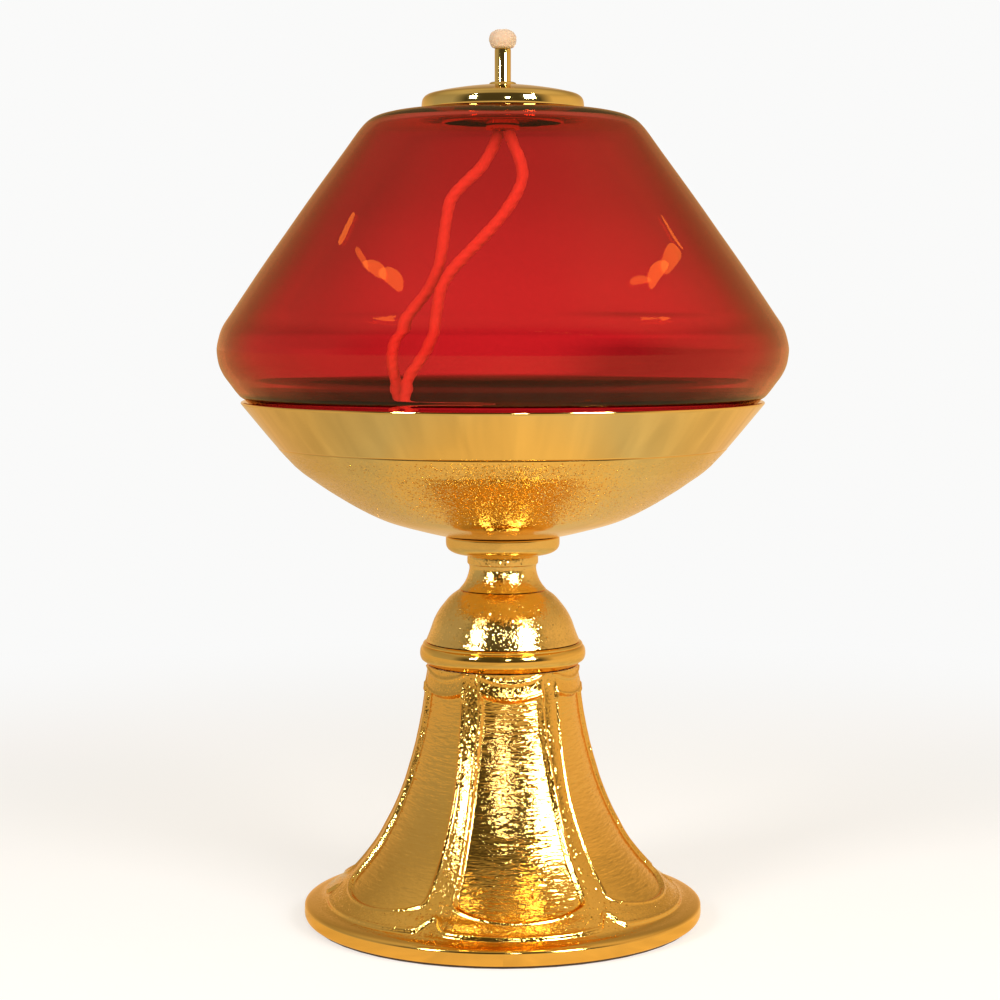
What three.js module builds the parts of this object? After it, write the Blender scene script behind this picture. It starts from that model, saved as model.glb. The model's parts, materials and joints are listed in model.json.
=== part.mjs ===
// Sanctuary lamp: a gilded brass pedestal and bowl that carry a ruby glass
// reservoir globe, closed by a brass burner cap with a wick tube.
//
// Units are millimetres, +Z is up. The origin is on the lamp's axis, on the
// surface the felt pad rests on. -Y is the front. Every turned piece is coaxial
// with Z. Pieces keep a 0.3 mm assembly gap to their neighbours.

import * as THREE from 'three';

// ---------------------------------------------------------------- dimensions
const GAP = 0.3;                 // assembly gap between neighbouring pieces

const FELT_R = 73.6, FELT_T = 0.8;
const FOOT_BOTTOM = FELT_T + GAP;         // 1.1
const FOOT_TOP = 98.3;
const PANEL_COUNT = 6;
const PANEL_TURN = 6;            // first panel's centre, degrees from the front toward +X
const PANEL_HALF = 21.5;         // half width of a sunk panel, degrees
const PANEL_DEPTH = 0.9;
const FOOT_SEGS = 48;
const FOOT_WALL = 2.8;

const PLATE_R = 71.6, PLATE_T = 1.6;
const ROD_R = 5.0, ROD_BORE = 5.4;
const ROD_BOTTOM = 84.5, ROD_TOP = 158.5;

const RING_BOTTOM = 98.6, RING_TOP = 107.2;
const DOME_BOTTOM = 107.5, DOME_TOP = 127.0;
const NECK_BOTTOM = 127.3, NECK_TOP = 140.5;
const FLANGE_BOTTOM = 140.8, FLANGE_TOP = 147.6;

const BOWL_WALL = 1.5;
const GLASS_WALL = 2.8;
const GLASS_FLOOR = 166.0;       // underside of the glass
const MOUTH_R = 24.0, NECK_OUT_R = 27.0, MOUTH_Z = 311.6;

const TUBE_R = 3.05, TUBE_BORE = 2.25;
const TUBE_BOTTOM = 306.0, TUBE_TOP = 331.0;
const WICK_R = 1.9;
const STRAND_D = 4.6;

// ------------------------------------------------------------------ profiles
// [radius, height] pairs, bottom to top.
const FOOT_OUTER = [
  [74.6, FOOT_BOTTOM], [75.6, 2.1], [76.2, 3.8], [76.2, 6.3], [75.4, 7.4],
  [70.0, 8.6], [68.6, 9.9], [66.4, 11.8], [64.0, 13.4], [61.0, 15.4], [57.5, 18.8],
  [54.5, 22.3], [52.0, 25.4], [49.0, 29.3], [46.8, 32.7], [44.3, 37.4],
  [41.8, 42.2], [39.1, 48.4], [36.8, 54.6], [34.9, 60.9], [33.2, 67.0],
  [31.8, 73.2], [30.6, 79.4], [29.6, 86.0], [28.95, 93.0], [28.9, FOOT_TOP],
];
const BEAD_OUTER = [
  [28.6, RING_BOTTOM], [29.9, 99.7], [31.2, 101.0], [31.6, 102.8], [31.5, 104.3],
  [30.8, 105.9], [29.7, RING_TOP],
];
const DOME_OUTER = [
  [29.3, DOME_BOTTOM], [28.3, 110.0], [27.4, 112.5], [26.4, 115.3], [24.7, 118.6],
  [22.6, 121.5], [20.0, 124.5], [17.9, 126.1], [16.6, DOME_TOP],
];
const NECK_OUTER = [
  [16.5, NECK_BOTTOM], [15.1, 129.0], [14.0, 130.9], [13.1, 133.4], [12.75, 135.4],
  [12.9, 136.5], [13.5, 137.2], [13.5, 139.7], [13.3, NECK_TOP],
];
const FLANGE_OUTER = [
  [16.5, FLANGE_BOTTOM], [19.4, 141.7], [21.2, 143.2], [21.7, 144.7], [21.7, 147.1],
  [21.4, FLANGE_TOP],
];
const BOWL_OUTER = [
  [20.5, 147.9], [24.5, 148.3], [28.5, 149.2], [33.9, 150.6], [39.0, 152.0],
  [43.8, 153.5], [48.0, 155.2], [52.5, 157.4], [57.8, 160.3], [62.9, 163.4],
  [67.6, 166.4], [71.3, 169.0], [75.7, 172.0], [79.0, 174.6], [84.7, 181.0],
  [89.7, 187.1], [94.7, 193.2], [98.9, 198.4],
];
const GLASS_OUTER = [
  [0, GLASS_FLOOR], [48.0, GLASS_FLOOR], [57.0, 166.9], [63.5, 169.3], [76.0, 176.5],
  [84.3, 185.0], [90.0, 191.9], [95.7, 199.0], [97.4, 199.8], [99.0, 201.0],
  [100.6, 202.8], [102.9, 205.9], [105.2, 209.1], [106.8, 212.6], [107.5, 216.0],
  [107.7, 219.0], [107.0, 222.8], [105.6, 226.9], [101.9, 232.6], [97.9, 238.6],
  [89.7, 250.7], [72.7, 274.7], [59.6, 292.6], [53.2, 301.3], [50.6, 303.9],
  [47.6, 305.6], [43.0, 306.9], [37.0, 307.8], [31.5, 308.2], [27.6, 308.4],
  [NECK_OUT_R, 309.2],
];
const CAP_OUTER = [
  [30.5, 308.7], [30.4, 311.2], [30.0, 312.4], [29.1, 313.4], [27.6, 314.2],
  [23.6, 315.2], [16.0, 316.4], [8.0, 317.4], [4.6, 317.8], [4.2, 318.6],
];

// ------------------------------------------------------------------- helpers
const V2 = (a) => new THREE.Vector2(a[0], a[1]);

function shoelace(pts) {
  let s = 0;
  for (let i = 0; i < pts.length; i++) {
    const a = pts[i], b = pts[(i + 1) % pts.length];
    s += a[0] * b[1] - b[0] * a[1];
  }
  return s / 2;
}

// A solid of revolution about Z from an [r, z] outline. onAxis: the outline
// starts and ends on the axis; otherwise it is closed on itself.
function turned(outline, segs, onAxis = false) {
  let pts = outline.map((p) => [p[0], p[1]]);
  if (shoelace(pts) < 0) pts.reverse();
  if (!onAxis) pts.push(pts[0]);
  const g = new THREE.LatheGeometry(pts.map(V2), segs);
  g.rotateX(Math.PI / 2);
  return g;
}

// The outline moved sideways by d (to the left of its direction of travel).
function offsetLine(pts, d) {
  return pts.map((p, i) => {
    const a = pts[Math.max(0, i - 1)], b = pts[Math.min(pts.length - 1, i + 1)];
    const n1 = normal(a, p), n2 = normal(p, b);
    const n1v = i === 0 ? n2 : n1, n2v = i === pts.length - 1 ? n1 : n2;
    let nx = n1v[0] + n2v[0], ny = n1v[1] + n2v[1];
    const l = Math.hypot(nx, ny);
    nx /= l; ny /= l;
    const c = Math.max(0.6, nx * n1v[0] + ny * n1v[1]);
    return [p[0] + (nx * d) / c, p[1] + (ny * d) / c];
  });
}
function normal(a, b) {
  const dx = b[0] - a[0], dy = b[1] - a[1], l = Math.hypot(dx, dy) || 1;
  return [-dy / l, dx / l];
}

// A hollow turned shell: outer outline, inner outline offset by the wall.
function shellOutline(outer, wall) {
  return outer.concat(offsetLine(outer, wall).reverse());
}

function ring(ri, ro, z0, z1, segs) {
  return turned([[ri, z0], [ro, z0], [ro, z1], [ri, z1]], segs);
}

function hexNut(acrossFlats, bore, z0, z1) {
  const s = new THREE.Shape();
  const r = acrossFlats / Math.sqrt(3);
  for (let i = 0; i < 6; i++) {
    const a = (i * Math.PI) / 3;
    if (i === 0) s.moveTo(r * Math.cos(a), r * Math.sin(a));
    else s.lineTo(r * Math.cos(a), r * Math.sin(a));
  }
  s.closePath();
  const h = new THREE.Path();
  h.absarc(0, 0, bore, 0, Math.PI * 2, true);
  s.holes.push(h);
  const g = new THREE.ExtrudeGeometry(s, { depth: z1 - z0, bevelEnabled: false, curveSegments: 12 });
  g.translate(0, 0, z0);
  return g;
}

// A round cord along a smooth curve through the given points.
function cord(points, diameter, sides, steps) {
  const curve = new THREE.CatmullRomCurve3(points.map((p) => new THREE.Vector3(...p)), false, 'centripetal');
  const s = new THREE.Shape();
  for (let i = 0; i < sides; i++) {
    const a = (i * 2 * Math.PI) / sides;
    const x = (diameter / 2) * Math.cos(a), y = (diameter / 2) * Math.sin(a);
    if (i === 0) s.moveTo(x, y); else s.lineTo(x, y);
  }
  s.closePath();
  return new THREE.ExtrudeGeometry(s, { steps, extrudePath: curve, bevelEnabled: false });
}

// ------------------------------------------------------------------ the foot
// Flared six-sided foot: smooth ridges between sunk panels, over a round base.
function smooth(e0, e1, x) {
  const t = Math.min(1, Math.max(0, (x - e0) / (e1 - e0)));
  return t * t * (3 - 2 * t);
}
function panelSink(deg, z) {
  const pitch = 360 / PANEL_COUNT;
  let d = ((deg - PANEL_TURN) % pitch + pitch) % pitch;
  if (d > pitch / 2) d -= pitch;
  const side = 1 - smooth(PANEL_HALF - 2.5, PANEL_HALF + 1, Math.abs(d));
  const low = smooth(13.5, 17.5, z - 1.6 * Math.abs(d) / PANEL_HALF);
  const high = 1 - smooth(88.5, 90.5, z);
  return PANEL_DEPTH * side * low * high;
}
// the panels lie flatter than the round between the ridges, and the wall inside follows them
function panelFlat(deg, r, z) {
  const pitch = 360 / PANEL_COUNT;
  let d = ((deg - PANEL_TURN) % pitch + pitch) % pitch;
  if (d > pitch / 2) d -= pitch;
  const half = ((24.4 - 2.7 * smooth(50, 90, z)) * Math.PI) / 180;
  const at = Math.min((Math.abs(d) * Math.PI) / 180, half);
  return 0.5 * r * (1 - Math.cos(half) / Math.cos(at)) * smooth(13, 34, z) * (1 - 0.7 * smooth(76, 90, z));
}
function footGeometry() {
  const inner = offsetLine(FOOT_OUTER.slice(4), FOOT_WALL).filter((p, i) => p[1] < 91 && p[1] > 5.2 && i % 2 === 1);
  const section = [];                       // {r, z, outer}
  for (const [r, z] of FOOT_OUTER) section.push({ r, z, outer: true });
  section.push({ r: ROD_BORE, z: FOOT_TOP });
  section.push({ r: ROD_BORE, z: 95.6 });
  section.push({ r: inner[inner.length - 1][0], z: 95.6 });
  for (const p of inner.reverse()) section.push({ r: p[0], z: p[1] });
  section.push({ r: 72.0, z: 4.2 });
  section.push({ r: 72.0, z: FOOT_BOTTOM });
  const n = section.length, pos = [], idx = [];
  for (let i = 0; i < FOOT_SEGS; i++) {
    const deg = (i * 360) / FOOT_SEGS, a = (deg * Math.PI) / 180;
    for (const s of section) {
      const r = s.r - (s.outer ? panelSink(deg, s.z) : 0) - (s.r > ROD_BORE + 1 ? panelFlat(deg, s.r, s.z) : 0);
      pos.push(r * Math.sin(a), -r * Math.cos(a), s.z);
    }
  }
  for (let i = 0; i < FOOT_SEGS; i++) {
    const j = (i + 1) % FOOT_SEGS;
    for (let k = 0; k < n; k++) {
      const l = (k + 1) % n;
      const a = i * n + k, b = j * n + k, c = j * n + l, d = i * n + l;
      idx.push(a, b, c, a, c, d);
    }
  }
  const g = new THREE.BufferGeometry();
  g.setAttribute('position', new THREE.Float32BufferAttribute(pos, 3));
  g.setIndex(idx);
  g.computeVertexNormals();
  return g;
}

// ----------------------------------------------------------------- materials
const mat = (color, roughness, metalness, extra = {}) =>
  new THREE.MeshStandardMaterial({ color, roughness, metalness, ...extra });
const SAND_GOLD = mat(0xc79a4a, 0.45, 1.0);
const POLISHED_GOLD = mat(0xd8a852, 0.16, 1.0);
const CHASED_GOLD = mat(0xbf9044, 0.5, 1.0);
const RUBY = mat(0xa51522, 0.05, 0.0, { transparent: true, opacity: 0.6 });
const STEEL = mat(0x8d8f92, 0.4, 1.0);
const CORK = mat(0x9a7650, 0.9, 0.0);
const RUBBER = mat(0x1c1a19, 0.8, 0.0);
const FELT = mat(0x3a3028, 1.0, 0.0);
const FIBRE = mat(0xe6cdbb, 0.95, 0.0);

// ------------------------------------------------------------------ assembly
const group = new THREE.Group();
function put(name, geometry, material, parent = group) {
  const m = new THREE.Mesh(geometry, material);
  m.name = name;
  parent.add(m);
  return m;
}

// Pedestal and bowl: one fixed assembly on a tie rod.
const stand = new THREE.Group();
group.add(stand);
put('felt_pad', turned([[0, 0], [FELT_R, 0], [FELT_R, FELT_T], [0, FELT_T]], 48, true), FELT, stand);
put('foot_base_plate', turned([[0, FOOT_BOTTOM], [PLATE_R, FOOT_BOTTOM], [PLATE_R, FOOT_BOTTOM + PLATE_T],
  [0, FOOT_BOTTOM + PLATE_T]], 48, true), STEEL, stand);
put('foot_shell', footGeometry(), CHASED_GOLD, stand);
put('bead_ring', turned([[ROD_BORE, RING_BOTTOM], ...BEAD_OUTER, [ROD_BORE, RING_TOP]], 28), POLISHED_GOLD, stand);
put('stem_dome', turned([[25.5, DOME_BOTTOM], ...DOME_OUTER, [ROD_BORE, DOME_TOP], [ROD_BORE, 124.2],
  [17.4, 123.6], [22.0, 118.2], [24.6, 112.4]], 28), SAND_GOLD, stand);
put('stem_neck', turned([[ROD_BORE, NECK_BOTTOM], ...NECK_OUTER, [ROD_BORE, NECK_TOP]], 28), SAND_GOLD, stand);
put('stem_flange', turned([[ROD_BORE, FLANGE_BOTTOM], ...FLANGE_OUTER, [ROD_BORE, FLANGE_TOP]], 28), POLISHED_GOLD, stand);

const bowlInner = offsetLine(BOWL_OUTER, BOWL_WALL).filter((p, i, all) => i % 2 === 0 || i === 13 || i > all.length - 2);
bowlInner[0] = [20.2, 149.4];
bowlInner[bowlInner.length - 1] = [97.5, 199.2];
put('bowl', turned([[ROD_BORE, 147.9], ...BOWL_OUTER, [98.6, 199.1], ...bowlInner.reverse(), [ROD_BORE, 149.4]], 36),
  POLISHED_GOLD, stand);

put('tie_rod', turned([[0, ROD_BOTTOM], [ROD_R - 0.6, ROD_BOTTOM], [ROD_R, ROD_BOTTOM + 0.6], [ROD_R, ROD_TOP - 0.6],
  [ROD_R - 0.6, ROD_TOP], [0, ROD_TOP]], 20, true), STEEL, stand);
put('foot_washer', ring(ROD_BORE, 13, 93.8, 95.3, 24), STEEL, stand);
put('foot_nut', hexNut(17, ROD_BORE, 87.5, 93.5), STEEL, stand);
put('bowl_washer', ring(ROD_BORE, 13, 149.7, 151.2, 24), STEEL, stand);
put('bowl_nut', hexNut(17, ROD_BORE, 151.5, 157.0), STEEL, stand);

// Cork ring cemented in the bowl: the glass sits on it.
put('globe_seat_ring', turned([[79.45, 178.15], [85.25, 184.9], [84.5, 184.9], [78.9, 178.7]], 36), CORK, stand);

// Ruby glass reservoir globe: open mouth at the top.
const glassInner = offsetLine(GLASS_OUTER.slice(1, 26), GLASS_WALL);
put('globe', turned([...GLASS_OUTER, [NECK_OUT_R, MOUTH_Z - 0.5], [NECK_OUT_R - 0.5, MOUTH_Z], [MOUTH_R + 0.5, MOUTH_Z],
  [MOUTH_R, MOUTH_Z - 0.5], [MOUTH_R, 305.8], [27.5, 305.4], [36.0, 305.0], [42.0, 304.1],
  ...glassInner.slice(0, 24).reverse().filter((p, i) => p[1] < 303.2 && p[1] > 168.9 && i % 2 === 0),
  [47.5, GLASS_FLOOR + GLASS_WALL], [0, GLASS_FLOOR + GLASS_WALL]], 32, true), RUBY);

// Burner: cap, plug, wick tube, its nut and the wick holder.
put('neck_gasket', ring(24.2, NECK_OUT_R, MOUTH_Z + GAP, 312.8, 28), RUBBER);
const burner = new THREE.Group();
group.add(burner);
put('burner_cap', turned([...CAP_OUTER, [3.35, 318.6], [3.35, 313.1], [29.0, 313.1], [29.4, 312.4], [29.4, 308.7]], 32),
  POLISHED_GOLD, burner);
put('burner_plug', turned([[22.6, 303.6], [23.2, 304.0], [23.2, 312.8], [3.35, 312.8], [3.35, 311.6], [22.0, 311.6],
  [22.0, 303.6]], 28), POLISHED_GOLD, burner);
put('wick_tube', ring(TUBE_BORE, TUBE_R, TUBE_BOTTOM, TUBE_TOP, 20), POLISHED_GOLD, burner);
put('tube_nut', hexNut(10, 3.35, 308.0, 311.3), POLISHED_GOLD, burner);
put('wick_holder', turned([[5.6, 300.6], [6.4, 300.6], [6.4, 303.5], [4.6, 306.6], [4.6, 307.7], [3.35, 307.7],
  [3.35, 305.7], [2.6, 305.0], [4.6, 302.4]], 20), POLISHED_GOLD, burner);

// The wick: its core in the tube and the trimmed tip. Two limp strands hang from
// the holder down to the reservoir floor.
const wick = new THREE.Group();
group.add(wick);
put('wick_core', turned([[0, 305.4], [WICK_R, 305.4], [WICK_R, 331.1], [0, 331.1]], 12, true), FIBRE, wick);
put('wick_tip', turned([[0, 331.4], [3.4, 331.4], [4.7, 332.3], [5.2, 334.0], [5.0, 335.8], [4.1, 337.4],
  [2.3, 338.3], [0, 338.5]], 20, true), FIBRE, wick);
const STRAND_A = [
  [-1.3, 2.35, 300.3],
  [-3.9, 2.7, 293.6],
  [-8.6, 2.95, 286.2],
  [-15.2, 3.2, 280],
  [-19.6, 3.5, 274.6],
  [-21.3, 3.9, 267.6],
  [-22.8, 4.3, 257.8],
  [-24.4, 4.5, 249.2],
  [-28.2, 4.5, 240.8],
  [-33.6, 4.5, 233.9],
  [-38, 4.5, 227.6],
  [-41.2, 4.5, 221.4],
  [-42.3, 4.5, 214.8],
  [-41.6, 4.5, 208.2],
  [-40.4, 4.6, 202],
  [-39.3, 4.8, 195.5],
  [-38.4, 5.1, 188.5],
  [-36.6, 5.8, 181.2],
  [-32.4, 7, 174.9],
  [-25.6, 9, 171.8],
  [-17, 11.4, 171.6],
  [-8.5, 13.6, 171.6],
];
const STRAND_B = [
  [2, -2.35, 300.3],
  [4, -2.5, 294.6],
  [6.5, -2.8, 288.8],
  [7.4, -3.1, 283.2],
  [5.6, -3.5, 277.4],
  [2, -3.8, 271.4],
  [-2.6, -4.2, 265.4],
  [-8.6, -4.5, 258.9],
  [-14.6, -4.5, 252.9],
  [-19.8, -4.5, 247],
  [-23.4, -4.5, 240.4],
  [-24.7, -4.5, 233.6],
  [-25.9, -4.5, 226.6],
  [-28.1, -4.5, 220],
  [-31.6, -4.5, 213.6],
  [-35, -4.5, 207.4],
  [-36.9, -4.5, 200.9],
  [-37, -4.7, 194.2],
  [-35.8, -5, 187.4],
  [-32.8, -5.6, 180.2],
  [-27.6, -6.8, 174.6],
  [-20.4, -8.6, 171.8],
  [-12, -10.9, 171.6],
  [-3.4, -13.2, 171.6],
];
put('wick_strand_left', cord(STRAND_A, STRAND_D, 8, 28), FIBRE, burner);
put('wick_strand_right', cord(STRAND_B, STRAND_D, 8, 28), FIBRE, burner);

export default group;
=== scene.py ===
"""Sanctuary lamp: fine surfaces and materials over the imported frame."""
import json
import math

import bpy
import numpy as np
from mathutils import Matrix, Vector

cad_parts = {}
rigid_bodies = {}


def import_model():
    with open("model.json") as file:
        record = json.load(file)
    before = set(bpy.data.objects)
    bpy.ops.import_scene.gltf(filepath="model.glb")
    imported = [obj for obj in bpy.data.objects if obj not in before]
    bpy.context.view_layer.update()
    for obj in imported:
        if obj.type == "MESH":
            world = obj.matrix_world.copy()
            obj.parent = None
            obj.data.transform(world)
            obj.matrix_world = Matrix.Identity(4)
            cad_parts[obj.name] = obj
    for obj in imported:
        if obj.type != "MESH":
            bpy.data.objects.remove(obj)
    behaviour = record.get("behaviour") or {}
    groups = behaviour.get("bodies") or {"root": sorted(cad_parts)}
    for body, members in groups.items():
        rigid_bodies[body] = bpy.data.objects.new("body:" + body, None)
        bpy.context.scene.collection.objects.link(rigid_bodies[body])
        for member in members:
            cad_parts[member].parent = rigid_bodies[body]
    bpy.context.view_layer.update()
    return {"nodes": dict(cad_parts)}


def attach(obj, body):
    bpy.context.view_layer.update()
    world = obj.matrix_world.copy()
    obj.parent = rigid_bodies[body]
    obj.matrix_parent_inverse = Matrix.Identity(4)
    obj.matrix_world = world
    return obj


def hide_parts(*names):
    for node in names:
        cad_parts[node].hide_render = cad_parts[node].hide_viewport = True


MM = 0.001

# ------------------------------------------------------------------ clean slate
for o in list(bpy.data.objects):
    bpy.data.objects.remove(o)

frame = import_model()
nodes = frame["nodes"]
scene = bpy.context.scene

# ------------------------------------------------------------------ camera
PITCH = 4.8215
cam_data = bpy.data.cameras.new("camera")
cam = bpy.data.objects.new("camera", cam_data)
scene.collection.objects.link(cam)
cam_data.sensor_width = 36.0
cam_data.lens = 85.19
cam_data.clip_start, cam_data.clip_end = 0.05, 60
cam.location = (-0.00105, -0.89839, 0.23697)
cam.rotation_euler = (math.radians(90 - PITCH), 0, 0)
scene.camera = cam
scene.view_settings.view_transform = "Standard"
scene.view_settings.look = "None"


# ------------------------------------------------------------------ mesh helpers
def spline(pts, step=0.7):
    """Points along a smooth line through pts; a point with a third value of 1 is a corner."""
    P = [(p[0], p[1]) for p in pts]
    corner = [len(p) > 2 and p[2] == 1 for p in pts]
    cuts = [0] + [i for i in range(1, len(P) - 1) if corner[i]] + [len(P) - 1]
    out = []
    for a, b in zip(cuts[:-1], cuts[1:]):
        seg = np.array(P[a:b + 1], float)
        if len(seg) == 2:
            out.append(tuple(seg[0]))
            n = max(1, int(np.linalg.norm(seg[1] - seg[0]) / (step * 6)))
            for k in range(1, n):
                out.append(tuple(seg[0] + (seg[1] - seg[0]) * k / n))
            continue
        Q = np.vstack([2 * seg[0] - seg[1], seg, 2 * seg[-1] - seg[-2]])
        for i in range(1, len(Q) - 2):
            p0, p1, p2, p3 = Q[i - 1:i + 3]
            dt = [max(1e-4, np.linalg.norm(y - x) ** 0.5) for x, y in ((p0, p1), (p1, p2), (p2, p3))]
            t1 = ((p1 - p0) / dt[0] - (p2 - p0) / (dt[0] + dt[1]) + (p2 - p1) / dt[1]) * dt[1]
            t2 = ((p2 - p1) / dt[1] - (p3 - p1) / (dt[1] + dt[2]) + (p3 - p2) / dt[2]) * dt[1]
            n = max(2, int(math.ceil(np.linalg.norm(p2 - p1) / step)))
            for k in range(n):
                t = k / n
                out.append(tuple(p1 + t1 * t + (-3 * p1 + 3 * p2 - 2 * t1 - t2) * t * t + (2 * p1 - 2 * p2 + t1 + t2) * t ** 3))
    out.append(P[-1])
    return out


def offset(pts, d):
    """The line moved by d to the left of its direction of travel."""
    p = np.array(pts, float)
    t = np.gradient(p, axis=0)
    t /= np.linalg.norm(t, axis=1)[:, None]
    return [tuple(q) for q in p + d * np.stack([-t[:, 1], t[:, 0]], 1)]


def new_object(name, verts, faces, sharp=35):
    me = bpy.data.meshes.new(name)
    me.from_pydata(verts, [], faces)
    me.validate()
    me.update()
    me.polygons.foreach_set("use_smooth", [True] * len(me.polygons))
    if sharp:
        me.set_sharp_from_angle(angle=math.radians(sharp))
    o = bpy.data.objects.new(name, me)
    scene.collection.objects.link(o)
    return o


def lathe(name, outline, segs=192, sharp=35):
    """A closed solid turned about Z from an [r, z] outline in mm, closed on itself or on the axis."""
    pts = [tuple(p[:2]) for p in outline]
    area = sum(a[0] * b[1] - b[0] * a[1] for a, b in zip(pts, pts[1:] + pts[:1]))
    if area < 0:
        pts.reverse()
    on_axis = pts[0][0] < 1e-6 and pts[-1][0] < 1e-6
    if not on_axis:
        k = [i for i, p in enumerate(pts) if p[0] < 1e-6]
        if k:
            pts = pts[k[0]:] + pts[:k[0]]
            if pts[1][0] < 1e-6:
                pts = pts[1:] + pts[:1]
            on_axis = pts[0][0] < 1e-6 and pts[-1][0] < 1e-6
    verts, faces, rows = [], [], []
    ang = [2 * math.pi * i / segs for i in range(segs)]
    for r, z in pts:
        if r < 1e-6:
            rows.append([len(verts)] * segs)
            verts.append((0, 0, z * MM))
        else:
            rows.append(list(range(len(verts), len(verts) + segs)))
            verts.extend((r * MM * math.sin(a), -r * MM * math.cos(a), z * MM) for a in ang)
    n = len(rows)
    for k in range(n - 1 if on_axis else n):
        a, b = rows[k], rows[(k + 1) % n]
        for i in range(segs):
            j = (i + 1) % segs
            f = [a[i], a[j], b[j], b[i]]
            f = [v for q, v in enumerate(f) if v not in f[:q]]
            if len(f) > 2:
                faces.append(f)
    return new_object(name, verts, faces, sharp)


# ------------------------------------------------------------------ materials
class Mat:
    def __init__(self, name):
        self.m = bpy.data.materials.new(name)
        self.m.use_nodes = True
        self.t = self.m.node_tree
        self.t.nodes.clear()
        self.out = self.add("ShaderNodeOutputMaterial")

    def add(self, kind, **kw):
        n = self.t.nodes.new(kind)
        for k, v in kw.items():
            if hasattr(n, k):
                setattr(n, k, v)
            else:
                n.inputs[k.replace("_", " ")].default_value = v
        return n

    def link(self, a, b):
        self.t.links.new(a, b)

    def coords(self, scale=(1, 1, 1)):
        tc = self.add("ShaderNodeTexCoord")
        mp = self.add("ShaderNodeMapping")
        mp.inputs["Scale"].default_value = scale
        self.link(tc.outputs["Object"], mp.inputs["Vector"])
        return mp.outputs["Vector"]

    def noise(self, vec, scale, detail=2.0, rough=0.5, distort=0.0):
        n = self.add("ShaderNodeTexNoise")
        n.inputs["Scale"].default_value = scale
        n.inputs["Detail"].default_value = detail
        n.inputs["Roughness"].default_value = rough
        n.inputs["Distortion"].default_value = distort
        self.link(vec, n.inputs["Vector"])
        return n.outputs["Fac"]

    def ramp(self, fac, stops):
        r = self.add("ShaderNodeValToRGB")
        e = r.color_ramp.elements
        while len(e) > 2:
            e.remove(e[-1])
        for i, (p, c) in enumerate(stops):
            el = e[i] if i < 2 else e.new(p)
            el.position = p
            el.color = (*c, 1) if len(c) == 3 else c
        self.link(fac, r.inputs["Fac"])
        return r.outputs["Color"]

    def math(self, op, a, b=None, clamp=False):
        n = self.add("ShaderNodeMath", operation=op)
        n.use_clamp = clamp
        for i, v in enumerate((a, b)):
            if v is None:
                continue
            if isinstance(v, (int, float)):
                n.inputs[i].default_value = v
            else:
                self.link(v, n.inputs[i])
        return n.outputs[0]

    def mix(self, fac, a, b):
        n = self.add("ShaderNodeMix")
        n.data_type = "RGBA"
        for s, v in (("Factor", fac), ("A", a), ("B", b)):
            inp = [i for i in n.inputs if i.name == s and i.enabled][0]
            if isinstance(v, (int, float)):
                inp.default_value = v
            elif isinstance(v, tuple):
                inp.default_value = (*v, 1) if len(v) == 3 else v
            else:
                self.link(v, inp)
        return [o for o in n.outputs if o.enabled][0]

    def bump(self, height, strength, distance, normal=None):
        b = self.add("ShaderNodeBump")
        b.inputs["Strength"].default_value = strength
        b.inputs["Distance"].default_value = distance
        self.link(height, b.inputs["Height"])
        if normal is not None:
            self.link(normal, b.inputs["Normal"])
        return b.outputs["Normal"]


SAND_GOLD = (0.89, 0.555, 0.135)
FOOT_GOLD = (0.90, 0.54, 0.128)
STEM_GOLD = (0.90, 0.60, 0.19)
BOWL_GOLD = (0.87, 0.575, 0.175)
CAP_GOLD = (0.84, 0.60, 0.20)


def flakes(m, v, normal, scale, tilt, mask=None, lean=(1, 1, 1)):
    """Random facet tilts, one to a cell: the sparkle of a sanded or hatched casting."""
    vor = m.add("ShaderNodeTexVoronoi")
    vor.inputs["Scale"].default_value = scale
    m.link(v, vor.inputs["Vector"])
    off = m.add("ShaderNodeVectorMath", operation="SUBTRACT")
    m.link(vor.outputs["Color"], off.inputs[0])
    off.inputs[1].default_value = (0.5, 0.5, 0.5)
    way = m.add("ShaderNodeVectorMath", operation="MULTIPLY")
    m.link(off.outputs[0], way.inputs[0])
    way.inputs[1].default_value = lean
    sc = m.add("ShaderNodeVectorMath", operation="SCALE")
    m.link(way.outputs[0], sc.inputs[0])
    size = m.add("ShaderNodeVectorMath", operation="LENGTH")
    m.link(off.outputs[0], size.inputs[0])
    few = m.math("MULTIPLY", m.math("POWER", m.math("MULTIPLY", size.outputs["Value"], 1.3), 4.0), tilt)
    if mask is not None:
        few = m.math("MULTIPLY", few, mask)
    m.link(few, sc.inputs["Scale"])
    ad = m.add("ShaderNodeVectorMath", operation="ADD")
    m.link(normal, ad.inputs[0])
    m.link(sc.outputs[0], ad.inputs[1])
    nm = m.add("ShaderNodeVectorMath", operation="NORMALIZE")
    m.link(ad.outputs[0], nm.inputs[0])
    return nm.outputs[0]


def radius(m, v):
    sep = m.add("ShaderNodeSeparateXYZ")
    m.link(v, sep.inputs[0])
    return sep, m.math("SQRT", m.math("ADD", m.math("MULTIPLY", sep.outputs[0], sep.outputs[0]),
                                      m.math("MULTIPLY", sep.outputs[1], sep.outputs[1])))


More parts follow.
